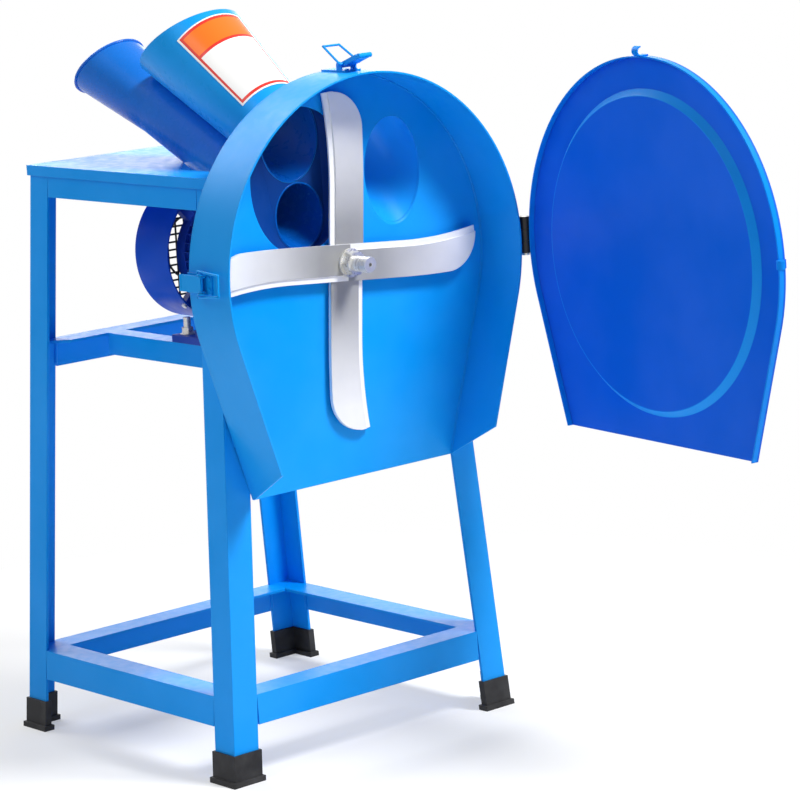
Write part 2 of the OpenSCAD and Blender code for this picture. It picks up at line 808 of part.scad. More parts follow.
disc_land = 4;                        // flat sheet left around the disc
disc_bend = 0.8;                      // shift of the wall's back at its bends, for an even thickness

// Disc pressed into the door, with its sloping wall and a narrow ring of the flat sheet
module pressed_disc()
    translate([0, panel_y, shaft_z]) rotate([90, 0, 0]) rotate_extrude($fn = drum_fn)
        polygon([[0, -disc_press], [disc_r - disc_press, -disc_press], [disc_r, 0], [disc_r + disc_land, 0],
                 [disc_r + disc_land, door_t], [disc_r - disc_bend, door_t],
                 [disc_r - disc_press - disc_bend, door_t - disc_press], [0, door_t - disc_press]]);

module door_panel()
    color(deep_blue) door_place() {
        difference() {
            housing_block(panel_y - door_t, panel_y + door_lip, door_r, front_drop + 3);
            housing_block(panel_y, panel_y + door_lip + cut, door_r - door_t, front_drop + 30);
            on_shaft(panel_y - door_t - cut, panel_y + cut, disc_r + disc_land / 2);
            translate([-far, -far, shaft_z - front_drop - 3 - far]) cube([2 * far, 2 * far, far]);
        }
        pressed_disc();
    }

knuckle = hinge_h / 3;
hinge_z = shaft_z + 6;                // middle of the hinge
knuckle_r = 8;
leaf_t = 3;
leaf_len = 44;
leaf_y = panel_y - door_t - leaf_t;   // front face of the leaf on the door
pin_r = 4;

module knuckle_at(z, h)
    translate([hinge_x, hinge_y, z]) cylinder(h = h, r = knuckle_r);

module pin_bore() translate([hinge_x, hinge_y, hinge_z - hinge_h]) cylinder(h = 2 * hinge_h, r = pin_r + fit);

module door_hinge_leaf()
    color(black) door_place() difference() {
        union() {
            knuckle_at(hinge_z - knuckle / 2 + seat, knuckle - 2 * seat);
            translate([hinge_x - leaf_len, leaf_y, hinge_z - knuckle / 2 + seat])
                cube([leaf_len + knuckle_r, leaf_t, knuckle - 2 * seat]);
            translate([hinge_x + knuckle_r - leaf_t, leaf_y, hinge_z - knuckle / 2 + seat])
                cube([leaf_t, hinge_y - leaf_y, knuckle - 2 * seat]);
            translate([hinge_x - leaf_len, leaf_y, hinge_z - hinge_h / 2])
                cube([leaf_len - hinge_out - 6, leaf_t, hinge_h]);
        }
        pin_bore();
    }

module fixed_hinge_leaf()
    color(black) difference() {
        union() {
            for (side = [-1, 1]) {
                low = hinge_z + (side < 0 ? -hinge_h / 2 : knuckle / 2);
                knuckle_at(low, knuckle);
                translate([hinge_x - knuckle_r, hinge_y, low]) cube([leaf_t, leaf_len, knuckle]);
            }
            translate([hinge_x - knuckle_r, hinge_y + 17, hinge_z - hinge_h / 2])
                cube([leaf_t, leaf_len - 17, hinge_h]);
            translate([drum_r - 4, hinge_y + 17, hinge_z - hinge_h / 2])
                cube([hinge_x - knuckle_r + 1 - drum_r + 4, leaf_len - 17, hinge_h]);
        }
        on_shaft(rim_y, plate_rear, drum_r);
        translate([hinge_x, hinge_y, hinge_z - hinge_h]) cylinder(h = 2 * hinge_h, r = pin_r - 0.01);
    }

module hinge_pin()
    color(zinc) translate([hinge_x, hinge_y, hinge_z - hinge_h / 2 - 3]) {
        cylinder(h = hinge_h + 3, r = pin_r - 0.01);
        cylinder(h = 3, r = 6);
    }

catch_w = 11;
catch_r = 6.5;                        // outer radius of a catch's hook
catch_t = 1.8;
catch_y = rim_y + 9;                  // middle of the hook when the door is closed
side_turn = -88;                      // where the side latch sits on the housing

// Catch at the top of the drawing: a strap on the folded edge, curled up and forward
module door_catch()
    translate([0, catch_y, door_r + catch_r]) {
        difference() {
            rotate([0, 90, 0]) cylinder(h = catch_w, r = catch_r, center = true);
            rotate([0, 90, 0]) cylinder(h = 2 * catch_w, r = catch_r - catch_t, center = true);
            translate([-catch_w, -2 * catch_r, -catch_r]) cube([2 * catch_w, 2 * catch_r, 2 * catch_r]);
        }
        translate([-catch_w / 2, panel_y - door_t - catch_y, -catch_r - 0.2])
            cube([catch_w, catch_y - panel_y + door_t, catch_t + 0.2]);
    }

module around_shaft(turn) translate([0, 0, shaft_z]) rotate([0, turn, 0]) children();

module door_catches()
    color(blue) door_place() difference() {
        for (turn = [0, side_turn]) around_shaft(turn) door_catch();
        on_shaft(panel_y - door_t - cut, panel_y + door_lip + 20, door_r);
    }

// Draw latches, drawn at the top of the housing: forward is -Y, outward is +Z

latch_y = rim_y + 56;                 // middle of the latch base
pivot_v = 8;                          // height of the pivots above the housing
pivot_y = latch_y - 11;               // lever pivot
wire_r = 1.5;
ear_w = 13;
lever_w = 10.5;
bail_w = bail_span / 2;
bar_w = bail_w - 3;                   // half width of the bail at its hook bar
hook_y = catch_y + 2.3;               // the bail's front bar when the latch is closed
bail_len = pivot_y + bail_arm - hook_y;
lift = 148 / 160;                     // turn of the bail for each degree of the lever
rivet_y = latch_y - 20;
rivet_x = 7;
roll_r = 3.2;                         // rolled end of the lever

module at_pivot() translate([0, pivot_y, drum_r + pivot_v]) children();

// A bar along X, centred on the pivot axis
module cross_bar(r, w) rotate([0, 90, 0]) cylinder(h = 2 * w, r = r, center = true);

module latch_base()
    difference() {
        union() {
            translate([-ear_w, latch_y - latch_len / 2, drum_r - 1]) cube([2 * ear_w, latch_len, 3]);
            for (side = [-1, 1]) {
                translate([side * (ear_w - 1) - 1, pivot_y - 5, drum_r]) cube([2, 10, pivot_v]);
                at_pivot() translate([side * (ear_w - 1), 0, 0]) rotate([0, 90, 0])
                    cylinder(h = 2, r = 5, center = true);
            }
        }
        at_pivot() cross_bar(2 - fit, 20);
        translate([0, plate_rear + cut, 0]) rotate([90, 0, 0])
            cylinder(h = plate_rear + cut - rim_y, r = drum_r, $fn = drum_fn);
        for (side = [-1, 1]) translate([side * rivet_x, rivet_y, drum_r - cut]) cylinder(h = 5, r = 2);
    }

module latch_rivet()
    for (side = [-1, 1]) translate([side * rivet_x, rivet_y, drum_r]) {
        translate([0, 0, -drum_t - 1.4]) cylinder(h = drum_t + 3.6, r = 2);
        translate([0, 0, 2]) cylinder(h = 1.4, r = 2.8);
        translate([0, 0, -drum_t - 1.6]) cylinder(h = 1.4, r = 3.4);
    }

module latch_rivet_holes()
    for (turn = [0, side_turn]) around_shaft(turn) for (side = [-1, 1])
        translate([side * rivet_x, rivet_y, drum_r - 2 * drum_t]) cylinder(h = 3 * drum_t, r = 2);

// Lever about its own pivot: cheeks, tail plate, rolled end and pivot pin
module lever_shape() {
    roll_y = lever_len - roll_r;
    difference() {
        union() {
            for (side = [-1, 1]) translate([side * (lever_w - 1), 0, 0]) {
                translate([-1, -4, -3]) cube([2, roll_y, 6]);
                rotate([0, 90, 0]) cylinder(h = 2, r = 4, center = true);
            }
            translate([-lever_w, -2, 1]) cube([2 * lever_w, roll_y + 2, 2]);
            translate([0, roll_y, 0.5]) cross_bar(roll_r, lever_w);
        }
        translate([0, bail_arm, 0]) cross_bar(wire_r + fit, 20);
    }
    cross_bar(2 - 2 * fit, ear_w + 1);
}

// Bail about its own pivot: a wire loop that reaches forward and narrows to its hook bar
module bail_shape() {
    slant = atan((bail_w - bar_w) / bail_len);
    for (side = [-1, 1]) {
        translate([side * bail_w, 0, 0]) rotate([90, 0, 0]) rotate([0, -side * slant, 0])
            cylinder(h = bail_len / cos(slant), r = wire_r, $fn = 24);
        translate([side * (bail_w + lever_w - 2) / 2, 0, 0])
            cross_bar(wire_r, (bail_w - lever_w + 2) / 2, $fn = 24);
        translate([side * bail_w, 0, 0]) sphere(r = wire_r + 0.1, $fn = 24);
        translate([side * bar_w, -bail_len, 0]) sphere(r = wire_r + 0.1, $fn = 24);
    }
    translate([0, -bail_len, 0]) cross_bar(wire_r, bar_w, $fn = 24);
}

// The lever and bail of a latch whose lever is open by the angle turn
module lever_at(turn) at_pivot() rotate([turn, 0, 0]) lever_shape();

module bail_at(turn)
    at_pivot() translate([0, bail_arm * cos(turn), bail_arm * sin(turn)])
        rotate([-turn * lift, 0, 0]) bail_shape();

module latch_bases() color(blue) for (turn = [0, side_turn]) around_shaft(turn) latch_base();
module latch_rivets() color(blue) for (turn = [0, side_turn]) around_shaft(turn) latch_rivet();
module side_lever() color(blue) around_shaft(side_turn) lever_at(0);
module side_bail() color(blue) around_shaft(side_turn) bail_at(0);
module top_lever_plate() color(blue) around_shaft(0) lever_at(top_lever);
module top_bail() color(blue) around_shaft(0) bail_at(top_lever);

module front_left_leg() color(blue) corner(false, false) foot_leg();
module front_right_leg() color(blue) corner(true, false) foot_leg();
module rear_left_leg() color(blue) corner(false, true) foot_leg();
module rear_right_leg() color(blue) corner(true, true) foot_leg();
module front_left_foot() color(black) corner(false, false) foot();
module front_right_foot() color(black) corner(true, false) foot();
module rear_left_foot() color(black) corner(false, true) foot();
module rear_right_foot() color(black) corner(true, true) foot();

front_left_leg();
front_right_leg();
rear_left_leg();
rear_right_leg();
front_left_foot();
front_right_foot();
rear_left_foot();
rear_right_foot();
bottom_front_rail();
bottom_rear_rail();
bottom_left_rail();
bottom_right_rail();
upper_rear_rail();
upper_left_rail();
upper_right_rail();
middle_front_rail();
middle_rear_rail();
motor_rail_left();
motor_rail_right();
table_top();
housing_brackets();
housing_band();
back_plate();
feed_throat();
main_chute();
long_chute();
root_spout();
bearing_housing();
front_bearing();
motor_frame();
front_shield();
rear_shield();
motor_foot();
foot_bolts();
stator_core();
motor_bearings();
fan_cowl();
fan_guard();
cowl_screws();
terminal_box();
terminal_cover();
cable_gland();
shaft();
rotor_core();
cooling_fan();
rear_blade_bar();
front_blade_bar();
blade_washer();
blade_nut();
door_panel();
door_hinge_leaf();
door_catches();
fixed_hinge_leaf();
hinge_pin();
latch_bases();
latch_rivets();
side_lever();
side_bail();
top_lever_plate();
top_bail();
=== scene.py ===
import math

import bmesh
import bpy
from mathutils import Matrix, Vector


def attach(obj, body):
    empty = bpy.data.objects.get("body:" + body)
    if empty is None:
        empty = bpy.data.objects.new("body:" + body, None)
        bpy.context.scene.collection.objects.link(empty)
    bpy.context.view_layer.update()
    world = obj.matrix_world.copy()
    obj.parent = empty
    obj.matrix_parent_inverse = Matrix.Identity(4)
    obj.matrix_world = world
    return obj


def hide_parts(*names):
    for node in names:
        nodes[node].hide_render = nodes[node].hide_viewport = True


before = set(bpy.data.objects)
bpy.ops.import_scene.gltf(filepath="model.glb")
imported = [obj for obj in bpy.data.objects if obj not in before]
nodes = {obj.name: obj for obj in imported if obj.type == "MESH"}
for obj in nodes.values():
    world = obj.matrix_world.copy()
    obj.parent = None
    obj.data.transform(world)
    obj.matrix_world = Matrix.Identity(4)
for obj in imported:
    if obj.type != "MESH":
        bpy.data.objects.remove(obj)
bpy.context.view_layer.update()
shaft_z = 0.652

# Stand: legs and rails of 40 mm angle iron, sawn, welded at the corners and powder coated blue.
# The motor rails are a lighter angle. The coat is glossy with a fine orange peel, and it rounds off the
# edges.


def paint(red, green, blue):
    """A colour as a paint card gives it, 0 to 255, as the light it reflects."""
    return tuple((c / 255 / 12.92) if c <= 10.3 else ((c / 255 + 0.055) / 1.055) ** 2.4
                 for c in (red, green, blue)) + (1.0,)


def blank_finish(name, roughness, metallic=0.0, specular=0.5):
    """A new material with its surface shader, ready for its pattern."""
    mat = bpy.data.materials.new(name)
    mat.use_nodes = True
    tree = mat.node_tree
    skin = tree.nodes["Principled BSDF"]
    skin.inputs["Roughness"].default_value = roughness
    skin.inputs["Metallic"].default_value = metallic
    skin.inputs["Specular IOR Level"].default_value = specular
    place = tree.nodes.new("ShaderNodeTexCoord")
    return mat, tree, skin, place.outputs["Object"]


def speckle(tree, where, scale, detail=3.0):
    """Noise whose grains are about 1/scale of a metre wide."""
    grain = tree.nodes.new("ShaderNodeTexNoise")
    grain.inputs["Scale"].default_value = scale
    grain.inputs["Detail"].default_value = detail
    tree.links.new(where, grain.inputs["Vector"])
    return grain.outputs["Fac"]


def between(tree, fac, low, high, start=0.35, stop=0.65):
    """Two colours or numbers that fac fades between."""
    if isinstance(low, tuple):
        ramp = tree.nodes.new("ShaderNodeValToRGB")
        ramp.color_ramp.elements[0].position, ramp.color_ramp.elements[0].color = start, low
        ramp.color_ramp.elements[1].position, ramp.color_ramp.elements[1].color = stop, high
        tree.links.new(fac, ramp.inputs["Fac"])
        return ramp.outputs["Color"]
    span = tree.nodes.new("ShaderNodeMapRange")
    for socket, value in zip(("From Min", "From Max", "To Min", "To Max"), (start, stop, low, high)):
        span.inputs[socket].default_value = value
    tree.links.new(fac, span.inputs["Value"])
    return span.outputs["Result"]


def bumps(tree, skin, height, strength, depth, rounding=0.0):
    """Raises the surface by depth where height is 1, and rounds its edges by the radius rounding."""
    bump = tree.nodes.new("ShaderNodeBump")
    bump.inputs["Strength"].default_value = strength
    bump.inputs["Distance"].default_value = depth
    tree.links.new(height, bump.inputs["Height"])
    if rounding:
        edge = tree.nodes.new("ShaderNodeBevel")
        edge.samples = 4
        edge.inputs["Radius"].default_value = rounding
        tree.links.new(edge.outputs["Normal"], bump.inputs["Normal"])
    tree.links.new(bump.outputs["Normal"], skin.inputs["Normal"])


def lighter(colour, share):
    """The same paint over a share of white."""
    return tuple(c + (1 - c) * share for c in colour[:3]) + (1.0,)


def darker(colour, share):
    """The same paint with a share of it gone dark."""
    return tuple(c * (1 - share) for c in colour[:3]) + (1.0,)


def powder_coat(name, colour, roughness=0.34, specular=0.10):
    """Baked powder coat: an even colour, a soft gloss and a fine orange peel."""
    mat, tree, skin, where = blank_finish(name, roughness, specular=specular)
    cloud = speckle(tree, where, 7.0)
    tone = between(tree, cloud, darker(colour, 0.06), lighter(colour, 0.012))
    tree.links.new(tone, skin.inputs["Base Color"])
    tree.links.new(between(tree, speckle(tree, where, 90.0), roughness - 0.04, roughness + 0.06),
                   skin.inputs["Roughness"])
    bumps(tree, skin, speckle(tree, where, 620.0, 2.0), 0.10, 0.0003, 0.0012)
    return mat


def dress(finish, *names):
    """Gives CAD nodes their finish."""
    for name in names:
        piece = nodes[name]
        piece.data.materials.clear()
        piece.data.materials.append(finish)


stand_blue = powder_coat("stand_blue", paint(3, 152, 243))
dress(stand_blue, "front_left_leg", "front_right_leg", "rear_left_leg", "rear_right_leg",
      "bottom_front_rail", "bottom_rear_rail", "bottom_left_rail", "bottom_right_rail",
      "upper_rear_rail", "upper_left_rail", "upper_right_rail", "middle_front_rail",
      "middle_rear_rail", "motor_rail_left", "motor_rail_right")


def wire(name, points, radius, closed, finish, body="stand", waves=0.0):
    """A round wire or weld bead through the points; waves makes it swell and shrink like a bead."""
    curve = bpy.data.curves.new(name, "CURVE")
    curve.dimensions = "3D"
    curve.bevel_depth = radius
    curve.bevel_resolution = 2
    curve.use_fill_caps = True
    line = curve.splines.new("POLY")
    line.points.add(len(points) - 1)
    line.use_cyclic_u = closed
    for i, (spot, point) in enumerate(zip(line.points, points)):
        spot.co = (*point, 1.0)
        spot.radius = 1.0 + waves * (1 if i % 2 else -1)
    curve.materials.append(finish)
    thing = bpy.data.objects.new(name, curve)
    bpy.context.scene.collection.objects.link(thing)
    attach(thing, body)


table_z, angle_w, angle_t = 0.782, 0.040, 0.004
half_width, half_depth = 0.1855, 0.203
lean_x, lean_y = 0.057, 0.028


def rail_weld(name, rail_top, side, end):
    """Weld bead up the inside of a rail's joint, on one side of the stand and at one end of it."""
    bead = []
    for i in range(19):
        z = rail_top - 0.036 + 0.031 * i / 18
        drop = (table_z - z) / table_z
        x, y = half_width + lean_x * drop, half_depth + lean_y * drop
        along, across = angle_w + 0.0002, angle_t + 0.0006
        if side in ("front", "rear"):
            bead.append(Vector((end * (x - along), (y - across) * (1 if side == "rear" else -1), z)))
        else:
            bead.append(Vector(((x - across) * (1 if side == "right" else -1), end * (y - along), z)))
    wire(name, bead, 0.0021, False, stand_blue, waves=0.16)


# The rails are welded to the legs along the inside of each joint.
for level, rail_top, sides in (("bottom", 0.113, ("front", "right", "left", "rear")),
                               ("middle", 0.540, ("front", "rear")),
                               ("upper", 0.780, ("right", "left", "rear"))):
    for side in sides:
        for end, corner in ((-1, "low"), (1, "high")):
            rail_weld(f"{level}_{side}_weld_{corner}", rail_top, side, end)

# Table: one sheet with its edges folded down, welded over the top rails, in the same coat.
# The blocks that carry the housing on the front legs are welded on and coated with it.
dress(stand_blue, "table_top", "housing_brackets")

# Feet: moulded black rubber shoes pushed over the ends of the angle iron.
# They are matt, slightly dusty and finely grained.


def moulded(name, colour, roughness, grain=900.0, depth=0.0002, specular=0.3):
    """Moulded rubber or plastic with a fine grain and a little dust."""
    mat, tree, skin, where = blank_finish(name, roughness, specular=specular)
    tone = between(tree, speckle(tree, where, 26.0, 5.0), colour, lighter(colour, 0.035), 0.4, 0.75)
    tree.links.new(tone, skin.inputs["Base Color"])
    bumps(tree, skin, speckle(tree, where, grain, 3.0), 0.25, depth, 0.0012)
    return mat


foot_rubber = moulded("foot_rubber", paint(28, 28, 31), 0.62)
dress(foot_rubber, "front_left_foot", "front_right_foot", "rear_left_foot", "rear_right_foot")

# Cutter housing: a band of sheet rolled round and welded to a flat back plate, open below and
# closed by the door. It has the same kind of coat in a slightly greener blue.
housing_blue = powder_coat("housing_blue", paint(3, 156, 242), 0.34, 0.14)
dress(housing_blue, "housing_band", "back_plate")

# The band is welded to the plate from the inside all the way round, with a thin even bead: up the
# slanting left side, round the arc, and down the right side.
plate_front = -0.221
slope, seam_r = math.radians(17.3), 0.2466
seam = [(-(seam_r - drop * math.sin(slope)) / math.cos(slope), -drop)
        for drop in (0.280, 0.240, 0.200, 0.160, 0.120)]
seam += [(-seam_r * math.cos(slope - turn), -seam_r * math.sin(slope - turn))
         for turn in (math.radians(214.6) * i / 140 for i in range(141))]
seam += [(-x, z) for x, z in reversed(seam[:5])]
wire("housing_seam", [Vector((x, plate_front - 0.0008, shaft_z + z)) for x, z in seam], 0.0011, False,
     housing_blue)

# Feed chutes: rolled sheet, welded to a short throat behind the back plate. The straight chute has
# the housing's coat and the flared one a deeper blue. The root spout is welded to the plate.


def chute_line(x, z, rise, yaw=0.0):
    """Start of a chute's middle line on the plate, and its directions: along, right, and below."""
    along = Vector((0, math.cos(math.radians(rise)), math.sin(math.radians(rise))))
    right = Vector((1, 0, 0))
    turn = Matrix.Rotation(math.radians(yaw), 3, "Z")
    return Vector((x, plate_front, z)), turn @ along, turn @ right, turn @ along.cross(right)


def beside_line(tree, where, line):
    """How far each point is along a line from its start, and how far away from the line."""

    def vector(operation, a, b=None):
        node = tree.nodes.new("ShaderNodeVectorMath")
        node.operation = operation
        tree.links.new(a, node.inputs[0])
        if b is not None:
            node.inputs[1].default_value = b
        return node.outputs["Value" if operation in ("LENGTH", "DOT_PRODUCT") else "Vector"]

    from_start = vector("SUBTRACT", where, line[0])
    aside = vector("CROSS_PRODUCT", from_start, line[1])
    return vector("DOT_PRODUCT", from_start, line[1]), vector("LENGTH", aside)


def sums(tree, operation, *values):
    """The result of one operation on values that are sockets or plain numbers."""
    node = tree.nodes.new("ShaderNodeMath")
    node.operation = operation
    for socket, value in zip(node.inputs, values):
        if isinstance(value, float):
            socket.default_value = value
        else:
            tree.links.new(value, socket)
    return node.outputs["Value"]


def recoat(tree, skin, mask, colour):
    """Changes the base colour to another one where the mask is 1."""
    mix = tree.nodes.new("ShaderNodeMix")
    mix.data_type = "RGBA"
    tree.links.new(mask, mix.inputs["Factor"])
    tree.links.new(skin.inputs["Base Color"].links[0].from_socket, mix.inputs["A"])
    if isinstance(colour, tuple):
        mix.inputs["B"].default_value = colour
    else:
        tree.links.new(colour, mix.inputs["B"])
    tree.links.new(mix.outputs["Result"], skin.inputs["Base Color"])


def tube_coat(name, colour, bore_shade, line, radius, taper, roughness, specular):
    """Powder coat with a painted shade on the inside of a tube along the line: there it takes the darker
    colour given for the bore.
    """
    mat = powder_coat(name, colour, roughness, specular)
    tree, skin = mat.node_tree, mat.node_tree.nodes["Principled BSDF"]
    along, away = beside_line(tree, tree.nodes["Texture Coordinate"].outputs["Object"], line)
    deep = sums(tree, "SUBTRACT", sums(tree, "MULTIPLY_ADD", along, taper, radius), away)
    recoat(tree, skin, between(tree, deep, 0.0, 1.0, 0.0002, 0.0005), bore_shade)
    return mat


main_line = chute_line(-0.060, 0.8026, 33.6)
main_r, main_mouth_r, main_len = 0.0456, 0.0706, 0.254
main_taper = (main_mouth_r - main_r) / main_len
long_line = chute_line(-0.049, 0.706, 27.5, 3.0)
long_r, long_mouth_r, long_len, flare_len = 0.040, 0.050, 0.434, 0.120
# The chutes' bores get a darker blue: a painted shade for the inside of the tubes.
bore_shade_blue = paint(3, 88, 178)
dress(tube_coat("main_chute_blue", paint(3, 158, 242), bore_shade_blue, main_line, main_r, main_taper, 0.30, 0.16),
      "main_chute")
chute_blue = powder_coat("chute_blue", paint(4, 104, 208), 0.24, 0.28)
dress(tube_coat("long_chute_blue", paint(4, 114, 214), bore_shade_blue, long_line, long_r, 0.0, 0.24, 0.20),
      "long_chute")
dress(housing_blue, "root_spout")
# The throat behind the plate is painted a dark navy: a painted shade for its deep cavity.
throat_painted_shade = powder_coat("throat_painted_shade", paint(2, 60, 136), 0.5, 0.08)
dress(throat_painted_shade, "feed_throat")

# The mouth of the flared chute is rolled over a wire, and every chute is welded all round where it meets the
# next piece. Rims and weld beads are under the same coat; the beads in the throat take its painted shade.


def cut_by_plane(line, radius, taper, point, normal, steps=96):
    """Points where a chute's skin meets a plane; its radius grows by taper along the line."""
    start, along, right, below = line
    ring = []
    for i in range(steps):
        angle = 2 * math.pi * i / steps
        out = right * math.cos(angle) + below * math.sin(angle)
        reach = -(normal.dot(start - point) + radius * normal.dot(out))
        reach /= normal.dot(along) + taper * normal.dot(out)
        ring.append(start + along * reach + out * (radius + taper * reach))
    return ring


mouth_tilt = math.radians(42)
mouth_normal = Vector((0, math.sin(mouth_tilt), math.cos(mouth_tilt)))
long_mouth = long_line[0] + long_line[1] * long_len
flare = (long_mouth_r - long_r) / flare_len
rim = cut_by_plane(long_line, long_r - (long_len - flare_len) * flare, flare, long_mouth, mouth_normal)
wire("long_chute_rolled_rim", rim, 0.0022, True, chute_blue)

spout_line, throat_line = chute_line(0.095, 0.761, 48.0), chute_line(-0.062, 0.765, 31.0)
plate_back, throat_back, straight_back = Vector((0, -0.2172, 0)), Vector((0, -0.1972, 0)), Vector((0, 1, 0))
for name, line, radius, taper, plane, finish in (
        ("spout_weld", spout_line, 0.050, 0.0, plate_back, housing_blue),
        ("throat_weld", throat_line, 0.0845, 0.0, plate_back, housing_blue),
        ("main_chute_weld", main_line, main_r, main_taper, throat_back, throat_painted_shade),
        ("long_chute_weld", long_line, long_r, 0.0, throat_back, throat_painted_shade)):
    wire(name, cut_by_plane(line, radius, taper, plane, straight_back, 220), 0.0018, True,
         finish, waves=0.15)

# Sticker: a blank printed label on the top of the straight chute, white with an orange band and a
# thin red frame. It is vinyl, stuck flat on the coat, and bears no marks.
label_mesh = bmesh.new()
label_mesh.loops.layers.uv.new("UVMap")
bmesh.ops.create_grid(label_mesh, x_segments=40, y_segments=24, size=0.5, calc_uvs=True)
label_middle, label_len, label_angle, label_turn, vinyl_t = 0.147, 0.140, -107.5, 91, 0.0004
for vert in label_mesh.verts:
    angle = math.radians(label_angle + label_turn * vert.co.x)
    reach = label_middle + label_len * vert.co.y
    out = main_line[2] * math.cos(angle) + main_line[3] * math.sin(angle)
    vert.co = main_line[0] + main_line[1] * reach + out * (main_r + main_taper * reach + vinyl_t)
bmesh.ops.recalc_face_normals(label_mesh, faces=label_mesh.faces)
for face in label_mesh.faces:
    face.smooth = True
label_data = bpy.data.meshes.new("chute_sticker")
label_mesh.to_mesh(label_data)
label_mesh.free()
label = bpy.data.objects.new("chute_sticker", label_data)
bpy.context.scene.collection.objects.link(label)


def printed_vinyl(name):
    """White vinyl, with bands of ink placed by the sticker's own width and height."""
    mat, tree, skin, where = blank_finish(name, 0.28, specular=0.4)
    uv = tree.nodes.new("ShaderNodeUVMap")
    split = tree.nodes.new("ShaderNodeSeparateXYZ")
    tree.links.new(uv.outputs["UV"], split.inputs["Vector"])
    white_ink, red_ink = paint(244, 243, 240), paint(222, 44, 34)
    ramps = []
    for axis, edge, line in (("X", 0.026, 0.062), ("Y", 0.018, 0.048)):
        ramp = tree.nodes.new("ShaderNodeValToRGB")
        ramp.color_ramp.interpolation = "CONSTANT"
        stops = ramp.color_ramp.elements
        stops[0].position, stops[0].color = 0.0, (0, 0, 0, 1)
        stops[1].position, stops[1].color = edge, (1, 1, 1, 1)
        for position, value in ((line, 0.5), (1 - line, 1.0), (1 - edge, 0.0)):
            stop = stops.new(position)
            stop.color = (value, value, value, 1)
        tree.links.new(split.outputs[axis], ramp.inputs["Fac"])
        ramps.append(ramp.outputs["Color"])
    band = tree.nodes.new("ShaderNodeValToRGB")
    band.color_ramp.interpolation = "CONSTANT"
    band.color_ramp.elements[0].color = white_ink
    band.color_ramp.elements[1].position = 0.67
    band.color_ramp.elements[1].color = red_ink
    band.color_ramp.elements.new(0.70).color = paint(250, 116, 20)
    tree.links.new(split.outputs["Y"], band.inputs["Fac"])
    tree.links.new(band.outputs["Color"], skin.inputs["Base Color"])
    recoat(tree, skin, sums(tree, "GREATER_THAN", sums(tree, "MAXIMUM", *ramps), 0.75), red_ink)
    recoat(tree, skin, sums(tree, "LESS_THAN", sums(tree, "MINIMUM", *ramps), 0.25), white_ink)
    bumps(tree, skin, speckle(tree, where, 260.0, 2.0), 0.06, 0.0002)
    return mat


label_data.materials.append(printed_vinyl("printed_vinyl"))
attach(label, "stand")

# Shaft bearing: a cast housing screwed to the back of the plate, painted dark blue like the motor.


def rough_casting(name, colour, roughness=0.42):
    """Satin paint over a sand casting, whose grain shows through."""
    mat, tree, skin, where = blank_finish(name, roughness, specular=0.15)
    tone = between(tree, speckle(tree, where, 14.0), darker(colour, 0.15), lighter(colour, 0.02))
    tree.links.new(tone, skin.inputs["Base Color"])
    bumps(tree, skin, speckle(tree, where, 420.0, 4.0), 0.35, 0.0005, 0.0015)
    return mat


motor_blue = rough_casting("motor_blue", paint(8, 62, 168))
dress(motor_blue, "bearing_housing", "motor_frame", "front_shield", "rear_shield", "motor_foot")

# Ball bearings and shaft: ground or turned steel, lightly oiled and bright.


def turned_steel(name, colour=(0.70, 0.70, 0.69, 1.0), roughness=0.28, across=(40.0, 900.0, 40.0)):
    """Steel with fine tool marks that run round the shaft line."""
    mat, tree, skin, where = blank_finish(name, roughness, metallic=0.6)
    stretch = tree.nodes.new("ShaderNodeMapping")
    stretch.inputs["Scale"].default_value = across
    tree.links.new(where, stretch.inputs["Vector"])
    marks = speckle(tree, stretch.outputs["Vector"], 1.0, 4.0)
    tone = between(tree, speckle(tree, where, 30.0), darker(colour, 0.12), colour)
    tree.links.new(tone, skin.inputs["Base Color"])
    tree.links.new(between(tree, marks, roughness - 0.06, roughness + 0.10), skin.inputs["Roughness"])
    bumps(tree, skin, marks, 0.12, 0.0002, 0.0008)
    return mat


bright_steel = turned_steel("bright_steel")
dress(bright_steel, "shaft", "front_bearing", "motor_bearings")

# Motor: an induction motor with a ribbed barrel and dished end shields. Inside it are a stack of
# sheets with its lacquered winding and the rotor that turns in it.
winding = moulded("winding_lacquer", paint(128, 70, 34), 0.35, 300.0, 0.0006, 0.5)
core_steel = turned_steel("core_steel", (0.30, 0.30, 0.31, 1.0), 0.45, (30.0, 1400.0, 30.0))
dress(winding, "stator_core")
dress(core_steel, "rotor_core")

# Fan cowl, terminal box and its cover: pressed sheet steel, painted with the motor.
# The cowl is open at its end, where a black wire guard is welded in, and the fan is moulded plastic.
cowl_blue = powder_coat("cowl_blue", paint(6, 80, 200), 0.32, 0.15)
dress(cowl_blue, "fan_cowl", "terminal_box", "terminal_cover")
guard_black = powder_coat("guard_black", paint(24, 24, 26), 0.34, 0.4)
fan_plastic = moulded("fan_plastic", paint(30, 30, 33), 0.5)
dress(fan_plastic, "cooling_fan", "cable_gland")

# Wire guard: a square mesh of round wire welded to two rings. The outer ring and the wires' ends
# touch the cowl's wall.
guard_mesh = bmesh.new()


def torus(mesh, ring_radius, wire_radius, y):
    """A ring of round wire about the shaft line."""
    ring = bmesh.ops.create_circle(mesh, segments=8, radius=wire_radius)["verts"]
    bmesh.ops.translate(mesh, verts=ring, vec=(ring_radius, y, shaft_z))
    edges = list({edge for vert in ring for edge in vert.link_edges})
    bmesh.ops.spin(mesh, geom=ring + edges, cent=(0, y, shaft_z), axis=(0, 1, 0),
                   angle=2 * math.pi, steps=96, use_merge=True)


def rod(mesh, start, end, radius):
    """A round wire from start to end."""
    turn = (end - start).to_track_quat("Z", "Y").to_matrix().to_4x4()
    bmesh.ops.create_cone(mesh, cap_ends=True, segments=8, radius1=radius, radius2=radius,
                          depth=(end - start).length, matrix=Matrix.Translation((start + end) / 2) @ turn)


